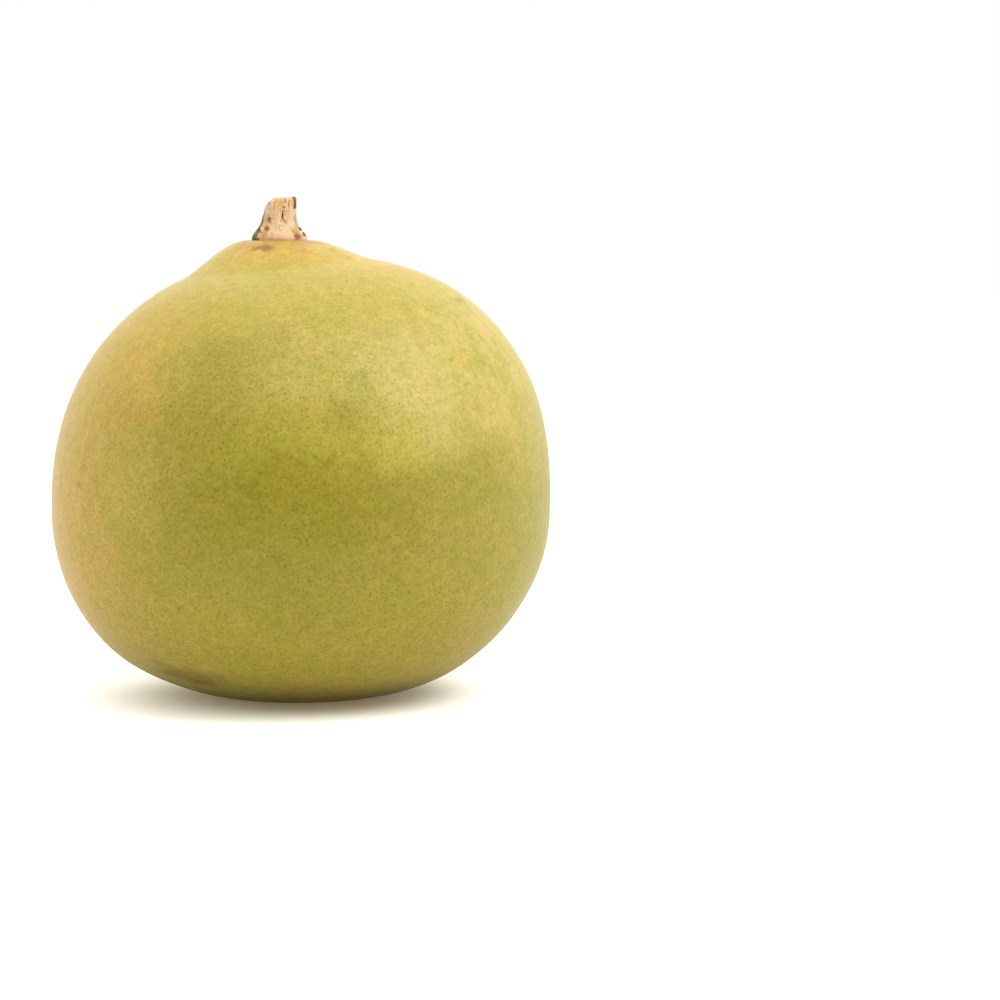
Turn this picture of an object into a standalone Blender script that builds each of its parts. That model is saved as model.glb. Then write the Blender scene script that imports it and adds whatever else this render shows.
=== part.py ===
"""A whole bael fruit, as picked, standing stalk up on the small flat spot at its blossom end.

Two solids: the hard-shelled fruit, and the stub of woody stalk, whose root sits in a socket in the
fruit's top. The fruit is a turned outline, a quarter ellipse below its widest ring and a squarish
dome above it, then shaped: it leans a little towards its fuller right shoulder, rises in a knoll to the
crown that carries the stalk, and is slightly uneven, as a grown thing is. X is the width, Y the depth
away from the viewer, Z up. The origin is on the resting surface, under the middle of the fruit.
"""

import math

import bmesh
import bpy
from mathutils import Vector, noise

MM = 0.001
FULL_TURN = 2 * math.pi
SAME_RADIUS = 0.01

# Fruit, in millimetres
HALF_WIDTH = 55.0
DEPTH_SHARE = 0.97
WIDEST_Z = 40.4
DOME_HEIGHT = 56.1
DOME_POWER = 2.31
LEAN = 2.9
FLAT_RADIUS = 12.2
DIMPLE_RADIUS = 5.5
DIMPLE_DEPTH = 1.2

# Crown that carries the stalk and the knoll that rises to it, in millimetres; the rings within
# CLOSING_RADIUS close in round the stalk
STALK_X = -4.55
CROWN_Z = 99.85
CROWN_RADIUS = 6.4
KNOLL_WIDTH = 14.5
CLOSING_RADIUS = 26.0

# Unevenness of the rind, in millimetres; it fades out towards the flat spot and the crown
LUMP_HEIGHT = 0.55
LUMP_SIZE = 38.0
LUMP_CENTRE = Vector((0.0, 0.0, 48.0))
CALM_HEIGHT = 9.0
CALM_RADIUS = 9.0
CALM_EDGE = 12.0

# Middle, reach and rise of three broader swells, in millimetres: a hollow left flank over a full left heel,
# and a full right shoulder
FLANK = (Vector((-52.0, 0.0, 36.0)), 19.0, -0.55)
HEEL = (Vector((-36.0, 0.0, 9.0)), 14.0, 0.75)
SHOULDER = (Vector((51.0, 0.0, 68.0)), 22.0, 0.42)

# Stalk and its socket, in millimetres; heights are above the underside of the stalk's foot
GAP = 0.3
PEG_RADIUS = 4.4
PEG_DEPTH = 3.0
STALK_HEIGHT = 9.05
STALK_RADIUS = 3.95
STALK_TAPER = 0.25
FOOT_FLARE = 2.0
FOOT_HEIGHT = 2.4
FOOT_ROUNDING = 0.3
TOP_RADIUS = 2.6
TOP_ROUNDING = 0.3
TOP_SLANT = 0.35
TOP_SPLINTERS = 0.35
TOP_EDGE = 2.0
STALK_LEAN = 0.8
RIB_COUNT = 3
RIB_TURN = 1.2
RIB_HEIGHT = 0.2
GROOVE_DEPTH = 0.3
GROOVE_SPACING = 1.6
GROOVE_LENGTH = 11.0

# Mesh fineness
FRUIT_SIDES = 64
BELLY_STEPS = 16
DOME_STEPS = 28
STALK_SIDES = 36
STALK_STEPS = 12
SHARP_ANGLE = 50
SAME_PLACE = 1e-4

# Name, colour, roughness and metallic value of each material
RIND = ("green_yellow_rind", (0.42, 0.33, 0.06, 1.0), 0.45, 0.0)
DRY_WOOD = ("dry_stalk_wood", (0.66, 0.45, 0.25, 1.0), 0.75, 0.0)


def clear_scene():
    for old in list(bpy.data.objects):
        bpy.data.objects.remove(old)


def smooth_step(value):
    """Rises smoothly from 0 to 1 as value does."""
    value = min(max(value, 0.0), 1.0)
    return value * value * (3 - 2 * value)


def make_material(name, colour, roughness, metallic):
    material = bpy.data.materials.new(name)
    material.use_nodes = True
    surface = material.node_tree.nodes["Principled BSDF"]
    surface.inputs["Base Color"].default_value = colour
    surface.inputs["Roughness"].default_value = roughness
    surface.inputs["Metallic"].default_value = metallic
    return material


def turned_solid(name, outline, sides, shape, material):
    """Turns an outline of (radius, height) pairs about Z, then moves each point where shape says."""
    mesh = bmesh.new()
    points = [mesh.verts.new((radius, 0.0, height)) for radius, height in outline]
    edges = [mesh.edges.new(pair) for pair in zip(points, points[1:])]
    bmesh.ops.spin(
        mesh,
        geom=points + edges,
        cent=(0, 0, 0),
        axis=(0, 0, 1),
        angle=FULL_TURN,
        steps=sides,
        use_merge=True,
    )
    bmesh.ops.remove_doubles(mesh, verts=mesh.verts, dist=SAME_PLACE)
    for point in mesh.verts:
        point.co = shape(point.co) * MM
    bmesh.ops.recalc_face_normals(mesh, faces=mesh.faces)
    data = bpy.data.meshes.new(name)
    mesh.to_mesh(data)
    mesh.free()
    data.shade_smooth()
    data.set_sharp_from_angle(angle=math.radians(SHARP_ANGLE))
    data.materials.append(material)
    solid = bpy.data.objects.new(name, data)
    bpy.context.scene.collection.objects.link(solid)


def dome_height(distance):
    """Height of the squarish dome at this distance from its own axis."""
    share = min(distance / HALF_WIDTH, 1.0)
    return WIDEST_Z + DOME_HEIGHT * (1 - share**DOME_POWER) ** (1 / DOME_POWER)


def fruit_outline():
    """From the scar's middle out over the flat spot, up belly and dome, and down into the stalk's socket."""
    outline = [(0.0, DIMPLE_DEPTH), (0.5 * DIMPLE_RADIUS, 0.85 * DIMPLE_DEPTH)]
    outline += [(0.85 * DIMPLE_RADIUS, 0.3 * DIMPLE_DEPTH), (DIMPLE_RADIUS, 0.0)]
    for step in range(BELLY_STEPS):
        angle = math.pi / 2 * step / BELLY_STEPS
        radius = FLAT_RADIUS + (HALF_WIDTH - FLAT_RADIUS) * math.sin(angle)
        outline.append((radius, WIDEST_Z * (1 - math.cos(angle))))
    last_angle = math.acos((CROWN_RADIUS / HALF_WIDTH) ** (DOME_POWER / 2))
    for step in range(DOME_STEPS):
        radius = HALF_WIDTH * math.cos(last_angle * step / DOME_STEPS) ** (2 / DOME_POWER)
        outline.append((radius, dome_height(radius)))
    socket_radius = PEG_RADIUS + GAP
    socket_floor = CROWN_Z - PEG_DEPTH - GAP
    outline += [(CROWN_RADIUS, CROWN_Z), (socket_radius, CROWN_Z)]
    outline += [(socket_radius, socket_floor), (0.0, socket_floor)]
    return outline


def shape_fruit(point):
    """The flat spot and the crown with its socket stay true; belly and dome get their grown shape."""
    radius = math.hypot(point.x, point.y)
    upper = point.z > WIDEST_Z
    if upper and radius < CROWN_RADIUS + SAME_RADIUS:
        return point + Vector((STALK_X, 0.0, 0.0))
    if not upper and radius < FLAT_RADIUS + SAME_RADIUS:
        return point.copy()
    shaped = shape_dome(point, radius) if upper else Vector((point.x, point.y * DEPTH_SHARE, point.z))
    return shaped + lump(shaped, upper)


def shape_dome(point, radius):
    """The dome leans, its upper rings close in round the stalk, and the knoll lifts them to the crown."""
    axis_x = LEAN * ((point.z - WIDEST_Z) / DOME_HEIGHT) ** 2
    closing = smooth_step((CLOSING_RADIUS - radius) / (CLOSING_RADIUS - CROWN_RADIUS))
    x = point.x + axis_x + (STALK_X - axis_x) * closing
    y = point.y * (DEPTH_SHARE + (1 - DEPTH_SHARE) * closing)
    z = dome_height(math.hypot(x - axis_x, y / DEPTH_SHARE)) if closing else point.z
    from_crown = math.hypot(x - STALK_X, y) - CROWN_RADIUS
    return Vector((x, y, CROWN_Z + (z - CROWN_Z) * smooth_step(from_crown / KNOLL_WIDTH)))


def lump(place, upper):
    """The rind's slight swells and hollows at this place."""
    rise = LUMP_HEIGHT * noise.noise(place / LUMP_SIZE)
    for middle, reach, peak in (FLANK, HEEL, SHOULDER):
        rise += peak * math.exp(-(((place - middle).length / reach) ** 2))
    rise *= smooth_step(place.z / CALM_HEIGHT)
    if upper:
        from_stalk = math.hypot(place.x - STALK_X, place.y)
        rise *= smooth_step((from_stalk - CALM_RADIUS) / CALM_EDGE)
    return (place - LUMP_CENTRE).normalized() * rise


def stalk_outline():
    """Up the root peg and out under the foot, then up the tapering side and over the broken top."""
    outline = [(0.0, -PEG_DEPTH), (PEG_RADIUS, -PEG_DEPTH), (PEG_RADIUS, 0.0), (PEG_RADIUS, GAP)]
    outline.append((STALK_RADIUS + FOOT_FLARE - FOOT_ROUNDING, GAP))
    for step in range(STALK_STEPS):
        height = FOOT_ROUNDING + (STALK_HEIGHT - TOP_ROUNDING - FOOT_ROUNDING) * step / STALK_STEPS
        radius = STALK_RADIUS * (1 - STALK_TAPER * (height / STALK_HEIGHT) ** 2)
        radius += FOOT_FLARE * math.exp(-((height / FOOT_HEIGHT) ** 2))
        outline.append((radius, GAP + height))
    outline.append((TOP_RADIUS, GAP + STALK_HEIGHT - TOP_ROUNDING))
    outline += [(0.6 * TOP_RADIUS, GAP + STALK_HEIGHT), (0.3 * TOP_RADIUS, STALK_HEIGHT), (0.0, STALK_HEIGHT)]
    return outline


def shape_stalk(point):
    """Sets the stub on the crown, with its ribs and grooves, its lean, and its slanting splintered top."""
    root = Vector((STALK_X, 0.0, CROWN_Z))
    if point.z < SAME_RADIUS:
        return point + root
    height = point.z - GAP
    turn = math.atan2(point.y, point.x)
    outwards = Vector((math.cos(turn), math.sin(turn), 0.0))
    side = smooth_step(math.hypot(point.x, point.y) / TOP_RADIUS)
    groove_place = outwards * STALK_RADIUS / GROOVE_SPACING + Vector((0.0, 0.0, height / GROOVE_LENGTH))
    relief = RIB_HEIGHT * math.cos(RIB_COUNT * turn + RIB_TURN) + GROOVE_DEPTH * noise.noise(groove_place)
    moved = point + outwards * relief * side
    moved.x += STALK_LEAN * (height / STALK_HEIGHT) ** 3
    top = smooth_step((height - STALK_HEIGHT + TOP_EDGE) / TOP_EDGE)
    moved.z += top * (TOP_SLANT * outwards.x * side + TOP_SPLINTERS * noise.noise(moved))
    return moved + root


def main():
    clear_scene()
    turned_solid("fruit", fruit_outline(), FRUIT_SIDES, shape_fruit, make_material(*RIND))
    turned_solid("stalk", stalk_outline(), STALK_SIDES, shape_stalk, make_material(*DRY_WOOD))


main()
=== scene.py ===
"""A whole bael fruit, as picked, with the woody stub of its stalk, standing on a pale floor in soft light.

Shapes are worked out in millimetres and become metres as each mesh is finished. X is the width, Y the
depth away from the viewer, Z up, from the surface that the fruit rests on.
"""

import math

import bmesh
import bpy
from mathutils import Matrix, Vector, geometry, noise


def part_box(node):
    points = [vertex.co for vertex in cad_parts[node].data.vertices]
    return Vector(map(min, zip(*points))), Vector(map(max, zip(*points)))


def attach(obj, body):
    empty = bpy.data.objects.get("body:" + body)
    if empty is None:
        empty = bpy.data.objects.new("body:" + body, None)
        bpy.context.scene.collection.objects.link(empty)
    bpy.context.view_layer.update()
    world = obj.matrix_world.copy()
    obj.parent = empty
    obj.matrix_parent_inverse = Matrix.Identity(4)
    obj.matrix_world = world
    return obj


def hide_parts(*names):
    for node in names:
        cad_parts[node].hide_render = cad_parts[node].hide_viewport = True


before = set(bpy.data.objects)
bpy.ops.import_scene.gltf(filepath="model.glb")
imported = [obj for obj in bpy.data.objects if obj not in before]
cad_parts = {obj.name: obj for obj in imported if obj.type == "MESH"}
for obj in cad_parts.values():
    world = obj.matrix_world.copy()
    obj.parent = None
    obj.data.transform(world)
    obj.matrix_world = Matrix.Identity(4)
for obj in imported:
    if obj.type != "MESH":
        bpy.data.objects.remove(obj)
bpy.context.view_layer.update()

# The rind: the hard woody shell of the fruit, grown as one piece, smooth and slightly greasy to the touch.
# A quarter ellipse below its widest ring and a squarish dome above it are turned, then lean to the fuller
# right shoulder and rise in a knoll to the crown that carries the stalk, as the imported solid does.
MM = 0.001
FULL_TURN = 2 * math.pi
SAME_RADIUS = 0.01
SAME_PLACE = 1e-4
SHARP_ANGLE = 50
HALF_WIDTH = 55.0
DEPTH_SHARE = 0.97
WIDEST_Z = 40.4
DOME_HEIGHT = 56.1
DOME_POWER = 2.31
LEAN = 2.9
FLAT_RADIUS = 12.2
DIMPLE_RADIUS = 5.5
DIMPLE_DEPTH = 1.2
SCAR_RADIUS = 1.6
SCAR_HEIGHT = 0.6
SCAR_ROUGHNESS = 0.4
SCAR_GRAIN = 0.5
PUCKER_COUNT = 11
PUCKER_DEPTH = 0.12
STALK_X = -4.55
CROWN_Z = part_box("fruit")[1].z / MM
CROWN_RADIUS = 6.4
KNOLL_WIDTH = 14.5
CLOSING_RADIUS = 26.0
SOCKET_RADIUS = 4.7
SOCKET_DEPTH = 3.3
LUMP_HEIGHT = 0.55
LUMP_SIZE = 38.0
LUMP_CENTRE = Vector((0.0, 0.0, 48.0))
CALM_HEIGHT = 9.0
CALM_RADIUS = 9.0
CALM_EDGE = 12.0
# Middle, reach and rise of three broader swells: a hollow left flank over a full left heel, and a full
# right shoulder
FLANK = (Vector((-52.0, 0.0, 36.0)), 19.0, -0.55)
HEEL = (Vector((-36.0, 0.0, 9.0)), 14.0, 0.75)
SHOULDER = (Vector((51.0, 0.0, 68.0)), 22.0, 0.42)
SWELL_DEPTH = 0.12
SWELL_SIZE = 9.0
PORE_DEPTH = 0.03
PORE_SIZE = 2.6
RIND_SIDES = 320
BELLY_STEPS = 90
DOME_STEPS = 150
DIMPLE_STEPS = 20
CROWN_STEPS = 6


def smooth_step(value):
    """Rises smoothly from 0 to 1 as value does."""
    value = min(max(value, 0.0), 1.0)
    return value * value * (3 - 2 * value)


def dome_height(distance):
    """Height of the squarish dome at this distance from its own axis."""
    share = min(distance / HALF_WIDTH, 1.0)
    return WIDEST_Z + DOME_HEIGHT * (1 - share**DOME_POWER) ** (1 / DOME_POWER)


def rind_outline():
    """From the scar's middle over the flat spot, up belly and dome, and down into the stalk's socket."""
    outline = []
    for step in range(DIMPLE_STEPS):
        share = step / DIMPLE_STEPS
        outline.append((DIMPLE_RADIUS * share, DIMPLE_DEPTH * (1 - share**2)))
    outline.append((DIMPLE_RADIUS, 0.0))
    for step in range(BELLY_STEPS):
        angle = math.pi / 2 * step / BELLY_STEPS
        radius = FLAT_RADIUS + (HALF_WIDTH - FLAT_RADIUS) * math.sin(angle)
        outline.append((radius, WIDEST_Z * (1 - math.cos(angle))))
    last_angle = math.acos((CROWN_RADIUS / HALF_WIDTH) ** (DOME_POWER / 2))
    for step in range(DOME_STEPS):
        radius = HALF_WIDTH * math.cos(last_angle * step / DOME_STEPS) ** (2 / DOME_POWER)
        outline.append((radius, dome_height(radius)))
    for step in range(CROWN_STEPS + 1):
        outline.append((CROWN_RADIUS + (SOCKET_RADIUS - CROWN_RADIUS) * step / CROWN_STEPS, CROWN_Z))
    outline += [(SOCKET_RADIUS, CROWN_Z - SOCKET_DEPTH), (0.0, CROWN_Z - SOCKET_DEPTH)]
    return outline


def shape_rind(point):
    """The flat spot and the crown with its socket stay true; belly and dome get their grown shape."""
    radius = math.hypot(point.x, point.y)
    upper = point.z > WIDEST_Z
    if upper and radius < CROWN_RADIUS + SAME_RADIUS:
        return point + Vector((STALK_X, 0.0, 0.0))
    if radius < DIMPLE_RADIUS and not upper:
        return shape_scar(point, radius)
    if not upper and radius < FLAT_RADIUS + SAME_RADIUS:
        return point.copy()
    shaped = shape_dome(point, radius) if upper else Vector((point.x, point.y * DEPTH_SHARE, point.z))
    return shaped + unevenness(shaped, upper)


def shape_scar(point, radius):
    """The hollow at the blossom end puckers towards the dried knob that the flower's style left in it."""
    hollow = point.z / DIMPLE_DEPTH
    slope = 4 * hollow * (1 - hollow)
    pucker = PUCKER_DEPTH * math.cos(PUCKER_COUNT * math.atan2(point.y, point.x)) * slope
    knob = SCAR_HEIGHT * math.exp(-((radius / SCAR_RADIUS) ** 4))
    knob *= 1 + SCAR_ROUGHNESS * noise.noise(point / SCAR_GRAIN)
    return point + Vector((0.0, 0.0, pucker * hollow - knob))


def shape_dome(point, radius):
    """The dome leans, its upper rings close in round the stalk, and the knoll lifts them to the crown."""
    axis_x = LEAN * ((point.z - WIDEST_Z) / DOME_HEIGHT) ** 2
    closing = smooth_step((CLOSING_RADIUS - radius) / (CLOSING_RADIUS - CROWN_RADIUS))
    x = point.x + axis_x + (STALK_X - axis_x) * closing
    y = point.y * (DEPTH_SHARE + (1 - DEPTH_SHARE) * closing)
    z = dome_height(math.hypot(x - axis_x, y / DEPTH_SHARE)) if closing else point.z
    from_crown = math.hypot(x - STALK_X, y) - CROWN_RADIUS
    return Vector((x, y, CROWN_Z + (z - CROWN_Z) * smooth_step(from_crown / KNOLL_WIDTH)))


def unevenness(place, upper):
    """The slight swells and hollows of the solid, and finer ones that only go inwards from it."""
    rise = LUMP_HEIGHT * noise.noise(place / LUMP_SIZE)
    for middle, reach, peak in (FLANK, HEEL, SHOULDER):
        rise += peak * math.exp(-(((place - middle).length / reach) ** 2))
    rise -= SWELL_DEPTH * (0.5 + 0.5 * noise.noise(place / SWELL_SIZE))
    rise -= PORE_DEPTH * (0.5 + 0.5 * noise.noise(place / PORE_SIZE))
    rise *= smooth_step(place.z / CALM_HEIGHT)
    if upper:
        from_stalk = math.hypot(place.x - STALK_X, place.y)
        rise *= smooth_step((from_stalk - CALM_RADIUS) / CALM_EDGE)
    return (place - LUMP_CENTRE).normalized() * rise


def turned_mesh(outline, sides, shape):
    """Turns an outline of (radius, height) pairs about Z, then moves each point where shape says."""
    mesh = bmesh.new()
    points = [mesh.verts.new((radius, 0.0, height)) for radius, height in outline]
    edges = [mesh.edges.new(pair) for pair in zip(points, points[1:])]
    bmesh.ops.spin(
        mesh,
        geom=points + edges,
        cent=(0, 0, 0),
        axis=(0, 0, 1),
        angle=FULL_TURN,
        steps=sides,
        use_merge=True,
    )
    bmesh.ops.remove_doubles(mesh, verts=mesh.verts, dist=SAME_PLACE)
    for point in mesh.verts:
        point.co = shape(point.co)
    bmesh.ops.recalc_face_normals(mesh, faces=mesh.faces)
    return mesh


def finish_piece(name, mesh, material, sharp_angle):
    """Makes an object of a mesh in millimetres, at the origin, smooth but for its sharp edges."""
    bmesh.ops.scale(mesh, vec=(MM, MM, MM), verts=mesh.verts)
    data = bpy.data.meshes.new(name)
    mesh.to_mesh(data)
    mesh.free()
    data.shade_smooth()
    data.set_sharp_from_angle(angle=math.radians(sharp_angle))
    data.materials.append(material)
    piece = bpy.data.objects.new(name, data)
    bpy.context.scene.collection.objects.link(piece)
    return piece


def linear(hex_colour):
    """Turns an sRGB hex colour to the linear values that a shader takes."""
    parts = [int(hex_colour[place : place + 2], 16) / 255 for place in (1, 3, 5)]
    return [part / 12.92 if part <= 0.04045 else ((part + 0.055) / 1.055) ** 2.4 for part in parts] + [1.0]


def add_node(tree, kind, inputs=None, **settings):
    """Adds a node with its settings, fills its inputs with values or links, and gives its first output."""
    node = tree.nodes.new(kind)
    for name, value in settings.items():
        setattr(node, name, value)
    for name, value in (inputs or {}).items():
        named = [socket for socket in node.inputs if socket.enabled and socket.name == name]
        socket = node.inputs[name] if isinstance(name, int) else named[0]
        if isinstance(value, bpy.types.NodeSocket):
            tree.links.new(value, socket)
        else:
            socket.default_value = value
    return next(socket for socket in node.outputs if socket.enabled)


def start_finish(name, roughness, gloss):
    """Starts a material: its node tree, its shader, and the place on the object in millimetres."""
    material = bpy.data.materials.new(name)
    material.use_nodes = True
    tree = material.node_tree
    surface = tree.nodes["Principled BSDF"]
    surface.inputs["Roughness"].default_value = roughness
    surface.inputs["Specular IOR Level"].default_value = gloss
    metres = add_node(tree, "ShaderNodeTexCoord").node.outputs["Object"]
    place = add_node(tree, "ShaderNodeVectorMath", {"Vector": metres, "Scale": 1 / MM}, operation="SCALE")
    return material, tree, surface, place


def drift(tree, place, drifts):
    """Pushes a place about with noise of each size and reach, so that what is drawn there frays."""
    drifted = place
    for size, reach in drifts:
        push = add_node(tree, "ShaderNodeTexNoise", {"Vector": place, "Scale": 1 / size, "Detail": 1.0})
        spread = {0: push.node.outputs["Color"], 1: (2 * reach,) * 3, 2: (-reach,) * 3}
        pushed = add_node(tree, "ShaderNodeVectorMath", spread, operation="MULTIPLY_ADD")
        drifted = add_node(tree, "ShaderNodeVectorMath", {0: drifted, 1: pushed}, operation="ADD")
    return drifted


def lay_patches(tree, place, colour, patches):
    """Lays soft-edged patches over a colour: each has a colour, centre, half-lengths, edge and strength."""
    for tint, centre, reach, edge, strength in patches:
        lie = {"Vector": place, "Location": centre, "Scale": reach}
        inside = add_node(tree, "ShaderNodeMapping", lie, vector_type="TEXTURE")
        distance = add_node(tree, "ShaderNodeVectorMath", {"Vector": inside}, operation="LENGTH")
        limits = {"Value": distance, "From Min": 1 + edge, "From Max": 1 - edge, "To Max": strength}
        share = add_node(tree, "ShaderNodeMapRange", limits, interpolation_type="SMOOTHSTEP")
        layer = {"Factor": share, "A": colour, "B": linear(tint)}
        colour = add_node(tree, "ShaderNodeMix", layer, data_type="RGBA")
    return colour


# Nearly all of a noise lies between these levels
NOISE_LOW = 0.3
NOISE_HIGH = 0.7


def cloud_over(tree, place, colour, clouds):
    """Varies a colour with noise: each kind has its size, and a shade and a light tint as factors."""
    for size, shade, light in clouds:
        cloud = add_node(tree, "ShaderNodeTexNoise", {"Vector": place, "Scale": 1 / size, "Detail": 2.0})
        limits = {"Value": cloud, "From Min": NOISE_LOW, "From Max": NOISE_HIGH}
        share = add_node(tree, "ShaderNodeMapRange", limits)
        layer = {"Factor": share, "A": (*shade, 1.0), "B": (*light, 1.0)}
        tone = add_node(tree, "ShaderNodeMix", layer, data_type="RGBA")
        layer = {"Factor": 1.0, "A": colour, "B": tone}
        colour = add_node(tree, "ShaderNodeMix", layer, data_type="RGBA", blend_type="MULTIPLY")
    return colour


# The finish of a woody shell with a thin natural wax: satin, so highlights are wide and soft. Its colour
# lies in layers: yellow round the stalk, green where leaves shaded it, tan where the sun reached it, clouds
# of both, then the oil glands, which show as fine dark dots, and the scuffs and bruises of a picked fruit.
SHELL_COLOUR = "#857827"
# Height of each level, how softly it begins, and its colour
SHELL_LEVELS = (
    (28.0, 14.0, "#80752a"),
    (58.0, 12.0, "#897d2a"),
    (74.0, 10.0, "#948738"),
    (88.0, 10.0, "#988635"),
    (97.0, 5.0, "#a18532"),
)
# Colour, centre, half-lengths along X, Y and Z, softness of the edge, and strength of each broad patch
SHELL_PATCHES_AND_HIGHLIGHT = (
    ("#967b33", (-58.0, -10.0, 46.0), (27.0, 44.0, 40.0), 0.5, 0.95),
    ("#9b7f2e", (-36.0, -22.0, 82.0), (20.0, 22.0, 16.0), 0.6, 0.8),
    ("#776c16", (-2.0, -55.0, 45.0), (27.0, 16.0, 13.0), 0.6, 0.85),
    ("#83772a", (-17.0, -43.0, 73.0), (14.0, 10.0, 10.0), 0.7, 0.75),
    ("#7b6f1c", (-23.0, -46.0, 61.0), (9.0, 9.0, 7.0), 0.7, 0.7),
    ("#958a40", (7.0, -46.0, 74.0), (14.0, 12.0, 9.0), 0.7, 0.7),
    # Painted highlight: a cream patch where the softbox's soft sheen falls on the right shoulder
    ("#a09150", (27.0, -40.0, 68.5), (15.0, 15.0, 10.5), 0.7, 0.85),
    ("#978a3a", (19.5, -49.0, 57.5), (8.0, 8.0, 6.0), 0.7, 0.8),
    ("#968339", (-35.0, -41.0, 48.0), (6.0, 6.0, 6.0), 0.7, 0.5),
    ("#7a6f1c", (-2.0, -50.0, 26.0), (7.0, 6.0, 5.0), 0.7, 0.5),
    ("#8f832e", (4.0, -51.0, 58.5), (8.0, 6.0, 4.5), 0.7, 0.7),
    ("#857929", (-11.0, -51.0, 56.5), (6.0, 6.0, 4.0), 0.7, 0.7),
    ("#8a7526", (-35.0, -36.0, 65.0), (7.0, 6.0, 5.0), 0.7, 0.6),
    ("#958536", (46.0, -22.0, 74.0), (14.0, 20.0, 18.0), 0.7, 0.6),
    ("#7a7426", (-3.0, -53.0, 33.0), (14.0, 8.0, 9.0), 0.8, 0.5),
    ("#926e28", (STALK_X, 0.0, CROWN_Z), (10.5, 10.5, 3.0), 0.35, 0.85),
    ("#8e7c2a", (20.0, 52.0, 50.0), (30.0, 20.0, 24.0), 0.6, 0.8),
    ("#967b33", (-14.0, 50.0, 66.0), (18.0, 20.0, 14.0), 0.6, 0.8),
    ("#776c16", (-24.0, 48.0, 34.0), (22.0, 18.0, 16.0), 0.7, 0.8),
    ("#7e7222", (52.0, 14.0, 40.0), (14.0, 22.0, 20.0), 0.7, 0.7),
    ("#9b7f2e", (30.0, 30.0, 80.0), (16.0, 18.0, 12.0), 0.7, 0.7),
)
# The same for small marks: green and yellow spots, painted shade as a dark rim low down where the fruit
# meets the floor, the paler ground inside it, bruises, the corky blossom end and the line at the stalk
SHELL_MARKS_AND_SHADE = (
    ("#7b7d30", (11.9, -45.6, 71.3), (2.6, 3.0, 2.2), 0.7, 0.5),
    ("#786e1c", (10.0, -50.0, 64.5), (4.0, 5.0, 2.6), 0.8, 0.5),
    ("#7a6e16", (13.2, -50.8, 54.6), (3.0, 4.0, 2.2), 0.7, 0.6),
    # Painted shade: a dark rim low down, where the fruit sits close to the floor
    ("#2e2400", (0.0, 0.0, 0.0), (40.0, 40.0, 5.5), 0.9, 0.8),
    ("#7d6a26", (0.0, 0.0, 0.0), (24.0, 24.0, 2.2), 0.8, 0.8),
    ("#67540a", (-24.5, -28.0, 8.0), (8.5, 6.0, 2.2), 0.7, 0.85),
    ("#6e4c08", (-7.5, -11.3, 98.4), (2.1, 1.8, 0.9), 0.7, 0.8),
    ("#7c5800", (-8.9, -11.0, 98.4), (1.7, 1.6, 0.9), 0.6, 0.9),
    ("#8c6a26", (0.6, -13.0, 97.5), (0.9, 1.2, 0.5), 0.6, 0.6),
    ("#8a5f14", (7.1, -8.4, 97.7), (1.1, 1.6, 0.5), 0.7, 0.8),
    ("#9a6e38", (-1.1, -8.0, 99.6), (1.2, 1.8, 0.4), 0.7, 0.7),
    ("#85602c", (2.2, -6.4, 99.4), (1.0, 1.4, 0.4), 0.7, 0.7),
    ("#7e6a1c", (9.7, -9.3, 96.6), (1.1, 1.6, 0.5), 0.7, 0.6),
    ("#745f18", (-30.6, -27.5, 11.0), (1.8, 3.0, 1.0), 0.8, 0.6),
    ("#5c4808", (-22.0, -27.6, 6.7), (3.0, 3.0, 1.1), 0.8, 0.7),
    ("#664e16", (-28.4, -24.6, 8.6), (2.2, 3.0, 0.7), 0.8, 0.6),
    ("#9a8850", (-19.7, -35.8, 11.3), (1.5, 3.0, 0.6), 0.8, 0.5),
    ("#7d7020", (-10.2, -36.2, 8.9), (1.0, 2.0, 0.6), 0.7, 0.5),
    ("#79620e", (34.9, -11.4, 86.9), (1.5, 2.4, 0.45), 0.7, 0.75),
    ("#a88540", (33.0, -12.0, 88.0), (1.2, 2.0, 0.7), 0.7, 0.6),
    ("#7e7024", (29.2, -28.1, 82.4), (0.9, 1.6, 0.5), 0.6, 0.7),
    ("#7e7024", (30.6, -28.2, 80.9), (0.7, 1.6, 0.4), 0.6, 0.7),
    ("#807226", (27.6, -26.0, 84.4), (1.0, 1.6, 0.5), 0.6, 0.6),
    ("#807328", (38.6, -26.5, 74.2), (0.8, 1.6, 1.0), 0.6, 0.6),
    ("#857834", (34.2, -36.5, 69.0), (1.5, 2.0, 0.6), 0.7, 0.6),
    ("#ad9040", (25.8, -27.5, 84.9), (0.8, 1.8, 1.1), 0.6, 0.7),
    ("#a98a3e", (33.7, -31.5, 75.0), (1.8, 2.0, 1.2), 0.7, 0.5),
    ("#a5824e", (39.6, -15.7, 81.0), (1.6, 2.4, 1.5), 0.7, 0.6),
    ("#9a7c2e", (20.6, -11.5, 93.6), (1.0, 1.6, 0.5), 0.6, 0.6),
    ("#6e5c2e", (-51.9, -18.0, 48.1), (1.0, 1.6, 0.8), 0.6, 0.6),
    ("#6e5c2e", (-46.7, -27.1, 49.1), (0.9, 1.4, 0.7), 0.6, 0.5),
    ("#6a5128", (0.0, 0.0, 0.6), (6.4, 6.4, 1.6), 0.25, 0.85),
    ("#3f3018", (0.0, 0.0, 0.8), (2.0, 2.0, 1.2), 0.3, 0.9),
    ("#7c5526", (STALK_X, 0.0, CROWN_Z), (6.5, 6.5, 0.9), 0.2, 0.75),
)
# Size and reach of what drifts the patches, and of what frays both patches and marks
SHELL_DRIFT = ((15.0, 7.0),)
SHELL_FRAY = ((2.5, 1.8),)
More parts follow.
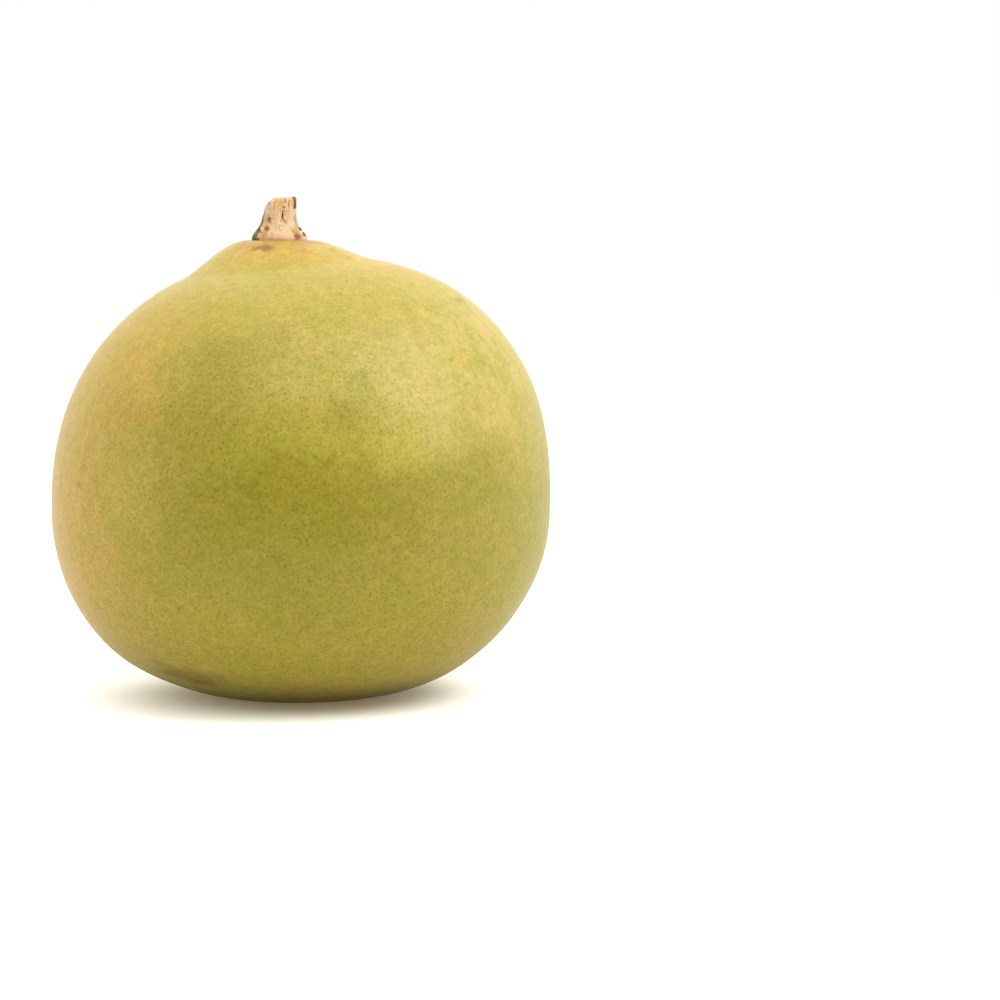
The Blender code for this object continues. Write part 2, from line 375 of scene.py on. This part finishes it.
# Size, shade and light tints, as factors on the colour, of each kind of cloud, and of the finer grain
SHELL_CLOUDS = (
    (19.0, (0.96, 1.01, 0.88), (1.06, 1.02, 1.12)),
    (6.0, (0.95, 0.99, 0.88), (1.06, 1.02, 1.13)),
)
SHELL_GRAIN = (
    (1.9, (0.92, 0.93, 0.85), (1.09, 1.07, 1.18)),
    (0.68, (0.88, 0.88, 0.72), (1.13, 1.13, 1.32)),
)
# Scuffs, pale where the wax has rubbed off and olive where the rind is bruised: colour, size, from which
# level of noise to which they come up, and strength; then where they lie, as for the patches
SCUFFS = (
    ("#a8954e", 5.0, 0.47, 0.63, 0.5),
    ("#7a6f20", 2.2, 0.55, 0.69, 0.45),
)
SCUFF_ZONES = (
    ("#ffffff", (38.0, -26.0, 77.0), (20.0, 22.0, 15.0), 0.6, 1.0),
    ("#ffffff", (-30.0, 36.0, 70.0), (18.0, 18.0, 15.0), 0.6, 0.8),
)
# The real glands are finer and closer than this, and are drawn coarser so that they show. Each edge is
# where a dot begins and where it is full, as shares of its radius.
GLAND_SPACING = 0.7
GLAND_RADIUS = 0.2
GLAND_EDGE = (1.7, 0.3)
GLAND_TINT = "#c8be80"
# Where the glands are faint: colour, centre, half-lengths, softness and strength, as for the patches
GLAND_FADES = (
    ("#ffffff", (-58.0, -10.0, 50.0), (26.0, 44.0, 44.0), 0.5, 0.75),
    ("#ffffff", (0.0, -10.0, 100.0), (60.0, 40.0, 30.0), 0.4, 0.9),
    ("#ffffff", (50.0, -10.0, 70.0), (34.0, 50.0, 40.0), 0.4, 0.75),
)
GLAND_PIT = 0.04
SPECK_SPACING = 9.0
SPECK_RADIUS = 0.42
SPECK_EDGE = (1.3, 0.6)
SPECK_STRENGTH = 0.45
SPECK_COLOUR = "#5f531e"


def dot_share(tree, distance, spacing, radius, edge, strength):
    """How much of a dot is here, from the distance to the nearest point of a Voronoi pattern."""
    starts, full = (part * radius / spacing for part in edge)
    limits = {"Value": distance, "From Min": starts, "From Max": full, "To Max": strength}
    return add_node(tree, "ShaderNodeMapRange", limits, interpolation_type="SMOOTHSTEP")


rind_finish, shell, rind_surface, shell_place = start_finish("waxed_woody_rind", roughness=0.48, gloss=0.16)
frayed = drift(shell, shell_place, SHELL_FRAY)
drifted = drift(shell, shell_place, SHELL_DRIFT + SHELL_FRAY)
colour = linear(SHELL_COLOUR)
level_height = add_node(shell, "ShaderNodeSeparateXYZ", {"Vector": drifted}).node.outputs["Z"]
for level, softness, tint in SHELL_LEVELS:
    limits = {"Value": level_height, "From Min": level - softness, "From Max": level + softness}
    share = add_node(shell, "ShaderNodeMapRange", limits, interpolation_type="SMOOTHSTEP")
    layer = {"Factor": share, "A": colour, "B": linear(tint)}
    colour = add_node(shell, "ShaderNodeMix", layer, data_type="RGBA")
colour = lay_patches(shell, drifted, colour, SHELL_PATCHES_AND_HIGHLIGHT)
colour = lay_patches(shell, frayed, colour, SHELL_MARKS_AND_SHADE)
colour = cloud_over(shell, drifted, colour, SHELL_CLOUDS)
colour = cloud_over(shell, shell_place, colour, SHELL_GRAIN)

scuff_zone = lay_patches(shell, drifted, linear("#000000"), SCUFF_ZONES)
for tint, size, low, high, strength in SCUFFS:
    rub = add_node(shell, "ShaderNodeTexNoise", {"Vector": frayed, "Scale": 1 / size, "Detail": 3.0})
    limits = {"Value": rub, "From Min": low, "From Max": high, "To Max": strength}
    rubbed = add_node(shell, "ShaderNodeMapRange", limits, interpolation_type="SMOOTHSTEP")
    share = add_node(shell, "ShaderNodeMath", {0: rubbed, 1: scuff_zone}, operation="MULTIPLY")
    layer = {"Factor": share, "A": colour, "B": linear(tint)}
    colour = add_node(shell, "ShaderNodeMix", layer, data_type="RGBA")

gland = add_node(shell, "ShaderNodeTexVoronoi", {"Vector": shell_place, "Scale": 1 / GLAND_SPACING})
gland_round = dot_share(shell, gland, GLAND_SPACING, GLAND_RADIUS, GLAND_EDGE, 1.0)
gland_depth = gland.node.outputs["Color"]
gland_share = add_node(shell, "ShaderNodeMath", {0: gland_round, 1: gland_depth}, operation="MULTIPLY")
gland_tint = lay_patches(shell, drifted, linear(GLAND_TINT), GLAND_FADES)
layer = {"Factor": gland_share, "A": (1.0, 1.0, 1.0, 1.0), "B": gland_tint}
tone = add_node(shell, "ShaderNodeMix", layer, data_type="RGBA")
layer = {"Factor": 1.0, "A": colour, "B": tone}
colour = add_node(shell, "ShaderNodeMix", layer, data_type="RGBA", blend_type="MULTIPLY")
speck = add_node(shell, "ShaderNodeTexVoronoi", {"Vector": shell_place, "Scale": 1 / SPECK_SPACING})
speck_share = dot_share(shell, speck, SPECK_SPACING, SPECK_RADIUS, SPECK_EDGE, SPECK_STRENGTH)
layer = {"Factor": speck_share, "A": colour, "B": linear(SPECK_COLOUR)}
colour = add_node(shell, "ShaderNodeMix", layer, data_type="RGBA")
shell.links.new(colour, rind_surface.inputs["Base Color"])
pit = {"Height": gland_share, "Distance": GLAND_PIT * MM}
shell.links.new(add_node(shell, "ShaderNodeBump", pit, invert=True), rind_surface.inputs["Normal"])

rind_mesh = turned_mesh(rind_outline(), RIND_SIDES, shape_rind)
rind = finish_piece("rind", rind_mesh, rind_finish, SHARP_ANGLE)
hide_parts("fruit")
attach(rind, "root")

# The stub of the stalk: pale dry wood, broken off above a foot that flares into the crown it grew from.
# It is turned finely, then ribbed and fibrous along its length, split by drying cracks, chipped at its left
# shoulder and splintered on top. Its root is the solid's peg, out of sight in the socket.
GAP = 0.3
PEG_RADIUS = 4.4
PEG_DEPTH = 3.0
STALK_HEIGHT = 9.05
STALK_RADIUS = 3.95
STALK_TAPER = 0.25
FOOT_FLARE = 2.0
FOOT_HEIGHT = 2.4
FOOT_SINK = 0.7
FOOT_LOBES = 0.55
# How close together the foot's lobes are, where in the noise they lie, and how far they lean forward
LOBE_CLOSENESS = 2.2
LOBE_PLACE = Vector((0.0, 0.0, 7.0))
LOBE_FORWARD = 0.2
TOP_RADIUS = 2.6
TOP_ROUNDING = 0.3
TOP_SLANT = 0.15
TOP_EDGE = 2.0
STALK_LEAN = 0.8
RIB_COUNT = 3
RIB_TURN = 1.2
RIB_HEIGHT = 0.2
GROOVE_DEPTH = 0.3
GROOVE_SPACING = 1.6
GROOVE_LENGTH = 11.0
FIBRE_DEPTH = 0.16
FIBRE_SPACING = 0.45
FIBRE_LENGTH = 5.0
SPLINTER_DEPTH = 0.8
SPLINTER_SIZE = 0.55
CHIP_DEPTH = 0.5
CHIP_HEIGHT = 2.0
# How far to the left of the stalk's middle the chip begins, and over how much more it deepens, as shares
CHIP_START = 0.3
CHIP_SPREAD = 0.5
# Start and end of each crack as (distance round the stalk from its front, height), half-width and depth
CRACKS = (
    ((0.88, 5.3), (0.88, 4.7), 0.28, 0.6),
    ((0.85, 5.9), (0.92, 4.3), 0.16, 0.4),
    ((0.95, 4.5), (1.45, 3.5), 0.2, 0.36),
    ((0.82, 4.4), (0.35, 3.7), 0.18, 0.2),
    ((0.1, 2.9), (-0.15, 2.1), 0.22, 0.2),
    ((-1.9, 8.1), (-1.6, 6.3), 0.16, 0.22),
    ((2.3, 8.4), (2.35, 6.9), 0.16, 0.25),
    ((1.1, 8.9), (1.2, 7.9), 0.18, 0.3),
    ((10.2, 7.5), (10.7, 4.7), 0.24, 0.7),
    ((10.7, 4.8), (11.6, 3.6), 0.18, 0.4),
    ((-8.8, 6.1), (-8.3, 3.1), 0.22, 0.6),
    ((7.4, 8.0), (7.2, 6.4), 0.18, 0.4),
)
STALK_SIDES = 200
STALK_STEPS = 110
TOP_STEPS = 16
STALK_SHARP_ANGLE = 60


def stalk_outline():
    """Up the root peg and out under the foot, then up the tapering side and in over the broken top."""
    outline = [(0.0, -PEG_DEPTH), (PEG_RADIUS, -PEG_DEPTH), (PEG_RADIUS, -FOOT_SINK)]
    for step in range(STALK_STEPS + 1):
        height = -FOOT_SINK + (STALK_HEIGHT - TOP_ROUNDING + FOOT_SINK) * step / STALK_STEPS
        radius = STALK_RADIUS * (1 - STALK_TAPER * (height / STALK_HEIGHT) ** 2)
        radius += FOOT_FLARE * math.exp(-((max(height, 0.0) / FOOT_HEIGHT) ** 2))
        outline.append((radius, GAP + height))
    for step in range(TOP_STEPS + 1):
        outline.append((TOP_RADIUS * (1 - step / TOP_STEPS), GAP + STALK_HEIGHT))
    return outline


def crack_share(point, height):
    """How deeply a place on the side is cracked, and the depth of that crack in millimetres."""
    here = Vector((STALK_RADIUS * math.atan2(point.x, -point.y), height))
    deepest = 0.0
    for start, end, half_width, depth in CRACKS:
        nearest, along = geometry.intersect_point_line(here, Vector(start), Vector(end))
        nearest = Vector(start).lerp(Vector(end), min(max(along, 0.0), 1.0))
        deepest = max(deepest, depth * math.exp(-(((here - nearest).length / half_width) ** 2)))
    return deepest


def shape_stalk(point):
    """Sets the stub on the crown, with its ribs, fibres, cracks, lean, chipped shoulder and broken top."""
    root = Vector((STALK_X, 0.0, CROWN_Z))
    height = point.z - GAP
    if height < -FOOT_SINK - GAP:
        return point + root
    turn = math.atan2(point.y, point.x)
    outwards = Vector((math.cos(turn), math.sin(turn), 0.0))
    side = smooth_step(math.hypot(point.x, point.y) / TOP_RADIUS)
    groove_place = outwards * STALK_RADIUS / GROOVE_SPACING + Vector((0.0, 0.0, height / GROOVE_LENGTH))
    relief = RIB_HEIGHT * math.cos(RIB_COUNT * turn + RIB_TURN) + GROOVE_DEPTH * noise.noise(groove_place)
    fibre_place = outwards * STALK_RADIUS / FIBRE_SPACING + Vector((0.0, 0.0, height / FIBRE_LENGTH))
    relief -= FIBRE_DEPTH * (0.5 + 0.5 * noise.noise(fibre_place))
    relief -= crack_share(point, height)
    shoulder = smooth_step((height - STALK_HEIGHT + CHIP_HEIGHT) / CHIP_HEIGHT)
    relief -= CHIP_DEPTH * shoulder * smooth_step((-outwards.x - CHIP_START) / CHIP_SPREAD)
    foot = math.exp(-((max(height, 0.0) / FOOT_HEIGHT) ** 2))
    lobe = noise.noise(LOBE_CLOSENESS * outwards + LOBE_PLACE) - LOBE_FORWARD * outwards.y
    relief += FOOT_LOBES * foot * lobe
    moved = point + outwards * relief * side
    moved.x += STALK_LEAN * (max(height, 0.0) / STALK_HEIGHT) ** 3
    top = smooth_step((height - STALK_HEIGHT + TOP_EDGE) / TOP_EDGE)
    splinter = 0.5 + 0.5 * noise.noise(Vector((moved.x, moved.y, 0.0)) / SPLINTER_SIZE)
    moved.z += top * (TOP_SLANT * outwards.x * side - SPLINTER_DEPTH * splinter**2)
    return moved + root


# The finish of broken dry wood: dull and pale cream, with fine grain along the stalk, golden and pinkish
# patches, brown stains near the foot, and painted shade in the cracks, darker the deeper they are.
WOOD_COLOUR = "#c2a382"
WOOD_PATCHES = (
    ("#c09a7a", (-4.5, -4.6, 100.5), (7.0, 5.0, 1.3), 0.6, 0.7),
    ("#b88f58", (-4.5, -3.0, 107.7), (1.2, 2.0, 1.3), 0.6, 0.8),
    ("#8a8270", (-6.5, -2.6, 107.2), (1.1, 1.4, 1.3), 0.7, 0.4),
    ("#6d4c26", (-3.4, -3.1, 107.1), (0.3, 1.0, 0.28), 0.5, 0.9),
    ("#b98a64", (-2.2, -2.8, 107.6), (0.35, 1.2, 1.0), 0.6, 0.7),
    ("#766a50", (-8.2, -1.1, 106.0), (0.9, 2.2, 2.3), 0.5, 0.85),
    ("#a08a62", (-7.6, -2.6, 103.3), (0.7, 2.0, 2.2), 0.7, 0.6),
    ("#8a6a3a", (-6.9, -3.2, 104.5), (0.7, 1.2, 0.9), 0.7, 0.7),
    ("#6a4522", (-6.6, -3.3, 104.5), (0.35, 1.2, 0.6), 0.6, 0.85),
    ("#64480f", (-7.1, -4.0, 102.4), (0.55, 1.2, 0.65), 0.6, 0.9),
    ("#a5823a", (-7.9, -4.7, 101.1), (1.0, 1.6, 0.8), 0.6, 0.8),
    ("#a07c48", (-0.9, -3.5, 101.9), (0.9, 1.6, 1.0), 0.7, 0.8),
    ("#6f4b20", (-0.4, -4.0, 100.6), (0.8, 1.6, 0.75), 0.6, 0.9),
    ("#8f8668", (-0.65, -1.6, 104.2), (0.5, 1.8, 1.9), 0.5, 0.8),
    ("#625b4e", (-6.8, -2.1, 108.0), (0.4, 1.2, 0.4), 0.5, 0.8),
    ("#937444", (-4.0, 3.6, 102.2), (2.6, 1.6, 1.6), 0.6, 0.7),
    ("#7c6138", (-6.6, 3.0, 106.4), (1.0, 1.2, 1.0), 0.5, 0.7),
)
WOOD_FRAY = ((0.8, 0.5),)
# Half-lengths of the grain's streaks, which run up the stalk
GRAIN_STRETCH = (0.3, 0.3, 3.2)
WOOD_CLOUDS = (
    (2.2, (0.86, 0.86, 0.8), (1.1, 1.12, 1.16)),
    (0.7, (0.84, 0.82, 0.74), (1.12, 1.12, 1.16)),
)
# The levels of the noise between which a streak goes from the wood's colour to its own
GRAIN_LEVELS = (0.5, 0.75)
GRAIN_DEPTH = 0.08
GRAIN_SHADE = "#a9855f"
# The depths between which painted shade darkens a crack, and how dark it gets
CRACK_DEPTHS = (0.08, 0.55)
CRACK_DARKNESS = 0.95
CRACK_SHADE_COLOUR = "#683a1e"

wood_finish, wood, wood_surface, wood_place = start_finish("dry_broken_wood", roughness=0.8, gloss=0.2)
stretch = {"Vector": wood_place, "Scale": GRAIN_STRETCH}
along_grain = add_node(wood, "ShaderNodeMapping", stretch, vector_type="TEXTURE")
streak = add_node(wood, "ShaderNodeTexNoise", {"Vector": along_grain, "Scale": 1.0, "Detail": 2.0})
limits = {"Value": streak, "From Min": GRAIN_LEVELS[0], "From Max": GRAIN_LEVELS[1]}
streak_share = add_node(wood, "ShaderNodeMapRange", limits)
layer = {"Factor": streak_share, "A": linear(WOOD_COLOUR), "B": linear(GRAIN_SHADE)}
colour = add_node(wood, "ShaderNodeMix", layer, data_type="RGBA")
colour = lay_patches(wood, drift(wood, wood_place, WOOD_FRAY), colour, WOOD_PATCHES)
colour = cloud_over(wood, wood_place, colour, WOOD_CLOUDS)
# Painted shade in the cracks: the deeper a crack, the darker its colour
crack_depth = add_node(wood, "ShaderNodeAttribute", attribute_name="crack").node.outputs["Fac"]
limits = {"Value": crack_depth, "From Min": CRACK_DEPTHS[0], "From Max": CRACK_DEPTHS[1]}
limits["To Max"] = CRACK_DARKNESS
layer = {"Factor": add_node(wood, "ShaderNodeMapRange", limits), "A": colour, "B": linear(CRACK_SHADE_COLOUR)}
colour = add_node(wood, "ShaderNodeMix", layer, data_type="RGBA")
wood.links.new(colour, wood_surface.inputs["Base Color"])
fine_grain = {"Height": streak, "Distance": GRAIN_DEPTH * MM}
wood.links.new(add_node(wood, "ShaderNodeBump", fine_grain, invert=True), wood_surface.inputs["Normal"])

stalk_mesh = turned_mesh(stalk_outline(), STALK_SIDES, shape_stalk)
crack_layer = stalk_mesh.verts.layers.float.new("crack")
for point in stalk_mesh.verts:
    height = point.co.z - CROWN_Z - GAP
    if height < -FOOT_SINK or height > STALK_HEIGHT - TOP_EDGE / 4:
        continue
    lean = STALK_LEAN * (max(height, 0.0) / STALK_HEIGHT) ** 3
    point[crack_layer] = crack_share(point.co - Vector((STALK_X + lean, 0.0, 0.0)), height)
stalk_wood = finish_piece("stalk_wood", stalk_mesh, wood_finish, STALK_SHARP_ANGLE)
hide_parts("stalk")
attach(stalk_wood, "root")

# What is left of the stalk's bark: thin dark flakes that cling to its sides and foot, most of them on the
# left. They are cut from the stalk's own surface, lifted off it a little and given their thickness.
# Centre and half-lengths of each flake
BARK_FLAKES = (
    ((-10.5, -0.6, 101.5), (2.4, 4.6, 2.4)),
    ((-8.7, -0.6, 104.0), (0.85, 2.5, 1.7)),
    ((-1.0, -1.0, 108.3), (0.5, 1.2, 1.4)),
    ((0.2, -2.0, 102.4), (0.45, 1.0, 0.4)),
    ((0.9, -1.9, 101.2), (0.45, 1.0, 0.5)),
    ((-4.2, 4.2, 104.4), (1.9, 1.2, 2.6)),
    ((-7.4, 4.6, 100.9), (1.7, 1.9, 1.0)),
    ((0.6, 3.0, 101.6), (1.3, 1.7, 1.4)),
)
BARK_FRAY = 0.55
BARK_FRAY_WIDTH = 0.5
BARK_FRAY_LENGTH = 1.5
BARK_LIFT = 0.08
BARK_THICKNESS = 0.18
BARK_GRAIN = 0.4
BARK_GRAIN_DEPTH = 0.25
BARK_COLOUR = "#574632"
BARK_CLOUDS = (
    (1.4, (0.6, 0.58, 0.52), (1.8, 1.75, 1.65)),
    (0.45, (0.7, 0.7, 0.66), (1.35, 1.35, 1.3)),
)


def bark_share(place):
    """Above 0 where bark clings: inside a flake, whose edge noise has nibbled along the fibres."""
    inside = -1.0
    for centre, reach in BARK_FLAKES:
        away = place - Vector(centre)
        away = Vector((away.x / reach[0], away.y / reach[1], away.z / reach[2]))
        inside = max(inside, 1 - away.length)
    fray_place = Vector((place.x, place.y, place.z * BARK_FRAY_WIDTH / BARK_FRAY_LENGTH)) / BARK_FRAY_WIDTH
    return inside + BARK_FRAY * noise.noise(fray_place)


# The finish of old bark: dull, dark brown and uneven, lighter where it has weathered
bark_finish, bark, bark_surface, bark_place = start_finish("dry_flaking_bark", roughness=0.85, gloss=0.25)
colour = cloud_over(bark, bark_place, linear(BARK_COLOUR), BARK_CLOUDS)
bark.links.new(colour, bark_surface.inputs["Base Color"])
rough_bark = {"Vector": bark_place, "Scale": 1 / BARK_GRAIN, "Detail": 3.0}
roughened = {"Height": add_node(bark, "ShaderNodeTexNoise", rough_bark), "Distance": BARK_GRAIN_DEPTH * MM}
bark.links.new(add_node(bark, "ShaderNodeBump", roughened), bark_surface.inputs["Normal"])

bark_mesh = turned_mesh(stalk_outline(), STALK_SIDES, shape_stalk)
bare = [face for face in bark_mesh.faces if bark_share(face.calc_center_median()) < 0]
bmesh.ops.delete(bark_mesh, geom=bare, context="FACES")
bark_mesh.normal_update()
for point in bark_mesh.verts:
    point.co += point.normal * BARK_LIFT
bmesh.ops.solidify(bark_mesh, geom=bark_mesh.faces, thickness=BARK_THICKNESS)
stalk_bark = finish_piece("stalk_bark", bark_mesh, bark_finish, SHARP_ANGLE)
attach(stalk_bark, "root")

# The studio: a pale floor and a white light tent that is darker on the viewer's side, with one large
# soft light high on the right.
FLOOR_RADIUS = 3000.0
FLOOR_SIDES = 64
FLOOR_COLOUR = "#f2f2f2"
# A painted glow: the floor gives off a faint warm light, which lifts and warms the shadow under the fruit
FLOOR_GLOW = (0.14, 0.11, 0.055, 1.0)

floor_paint = bpy.data.materials.new("matt_white_acrylic")
floor_paint.use_nodes = True
floor_surface = floor_paint.node_tree.nodes["Principled BSDF"]
floor_surface.inputs["Base Color"].default_value = linear(FLOOR_COLOUR)
floor_surface.inputs["Roughness"].default_value = 0.9
floor_surface.inputs["Specular IOR Level"].default_value = 0.0
floor_surface.inputs["Emission Color"].default_value = FLOOR_GLOW
floor_surface.inputs["Emission Strength"].default_value = 1.0

floor_mesh = bmesh.new()
bmesh.ops.create_circle(floor_mesh, cap_ends=True, radius=FLOOR_RADIUS, segments=FLOOR_SIDES)
floor = finish_piece("floor", floor_mesh, floor_paint, SHARP_ANGLE)

# Brightness of the tent in front, at the sides and overhead, and as the camera sees it; then how far round
# from straight in front, and how far up, one goes over into the next
FRONT_LEVEL = 0.3
SIDE_LEVEL = 2.05
TOP_LEVEL = 2.3
SEEN_LEVEL = 1.0
FRONT_EDGE = (-0.95, -0.3)
TOP_EDGES = (0.3, 1.0)
world = bpy.data.worlds.new("light_tent")
bpy.context.scene.world = world
world.use_nodes = True
sky = world.node_tree
background = sky.nodes["Background"]
direction = add_node(sky, "ShaderNodeTexCoord").node.outputs["Generated"]
depth = add_node(sky, "ShaderNodeSeparateXYZ", {"Vector": direction}).node.outputs["Y"]
height = add_node(sky, "ShaderNodeSeparateXYZ", {"Vector": direction}).node.outputs["Z"]
limits = {"Value": depth, "From Min": FRONT_EDGE[0], "From Max": FRONT_EDGE[1]}
limits.update({"To Min": FRONT_LEVEL, "To Max": SIDE_LEVEL})
around = add_node(sky, "ShaderNodeMapRange", limits, interpolation_type="SMOOTHSTEP")
limits = {"Value": height, "From Min": TOP_EDGES[0], "From Max": TOP_EDGES[1]}
above = add_node(sky, "ShaderNodeMapRange", limits, interpolation_type="SMOOTHSTEP")
level = add_node(sky, "ShaderNodeMix", {"Factor": above, "A": around, "B": TOP_LEVEL})
seen = add_node(sky, "ShaderNodeLightPath")
level = add_node(sky, "ShaderNodeMix", {"Factor": seen, "A": level, "B": SEEN_LEVEL})
sky.links.new(level, background.inputs["Strength"])
background.inputs["Color"].default_value = (1.0, 1.0, 1.0, 1.0)

LAMP_PLACE = Vector((700.0, -300.0, 850.0))
LAMP_TARGET = Vector((0.0, 0.0, 60.0))
LAMP_SIZE = 600.0
LAMP_POWER = 5.0
lamp_light = bpy.data.lights.new("softbox", "AREA")
lamp_light.shape = "DISK"
lamp_light.size = LAMP_SIZE * MM
lamp_light.energy = LAMP_POWER
lamp = bpy.data.objects.new("softbox", lamp_light)
lamp.location = LAMP_PLACE * MM
lamp.rotation_euler = (LAMP_TARGET - LAMP_PLACE).to_track_quat("-Z", "Y").to_euler()
lamp.visible_camera = False
bpy.context.scene.collection.objects.link(lamp)

# The camera stands where the photo was taken from: two thirds of a metre off, looking slightly down.
CAMERA_PLACE = Vector((0.78, -672.1, 107.8))
CAMERA_PITCH = 5.54
CAMERA_YAW = 3.67
FOCAL_LENGTH = 110.0
SENSOR_WIDTH = 36.0
lens = bpy.data.cameras.new("camera")
lens.lens = FOCAL_LENGTH
lens.sensor_width = SENSOR_WIDTH
camera = bpy.data.objects.new("camera", lens)
camera.location = CAMERA_PLACE * MM
camera.rotation_euler = (math.radians(90 - CAMERA_PITCH), 0.0, math.radians(-CAMERA_YAW))
bpy.context.scene.collection.objects.link(camera)
bpy.context.scene.camera = camera
bpy.context.scene.view_settings.view_transform = "Standard"
